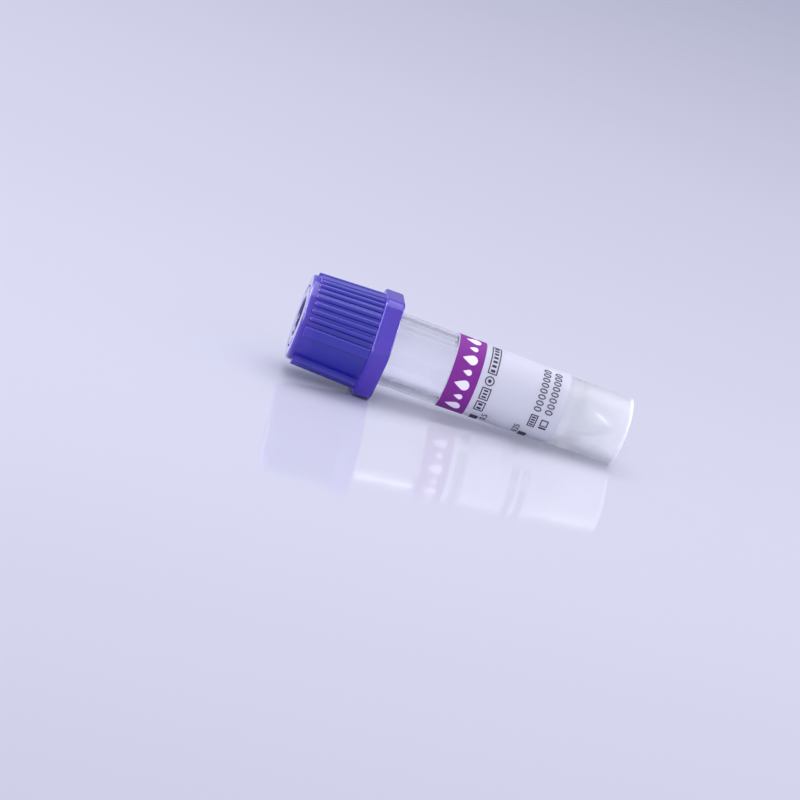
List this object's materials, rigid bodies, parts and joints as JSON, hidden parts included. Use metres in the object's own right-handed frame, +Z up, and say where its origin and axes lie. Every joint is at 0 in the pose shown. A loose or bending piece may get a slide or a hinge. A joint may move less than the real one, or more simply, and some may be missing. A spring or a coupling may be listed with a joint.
{
  "type": "blood collection tube",
  "caption": "Small capped plastic tube for a drop of blood, lying on its side, with a ribbed pull-and-twist cap over a rubber stopper and a printed wrap label.",
  "frame": {"origin": "middle of the bounding box, on the surface that the tube lies on", "axes": "+X along the tube from the cap towards the foot, +Y away from the printed side, +Z up"},
  "size_m": [0.043, 0.014, 0.0129],
  "materials": {
    "tube_plastic": "clear, slightly milky moulded polypropylene",
    "stopper_rubber": "dark matte rubber",
    "cap_plastic": "satin moulded polyethylene",
    "label_film": "thin matte film, slightly see-through",
    "band_ink": "printed ink",
    "dark_ink": "printed ink"
  },
  "bodies": {
    "vessel": {"tube": "tube_plastic", "label": "label_film", "label_band": "band_ink", "label_marks": "dark_ink"},
    "plug": {"stopper": "stopper_rubber"},
    "closure": {"cap": "cap_plastic"}
  },
  "joints": [
    {"name": "cap_pull", "type": "slide", "parent": "vessel", "child": "plug", "axis": [-0.9979, 0, 0.0652], "range_m": [0, 0.02]},
    {"name": "cap_twist", "type": "hinge", "parent": "plug", "child": "closure", "pos_m": [-0.02115, 0, 0.00714], "axis": [-0.9979, 0, 0.0652], "continuous": true}
  ]
}
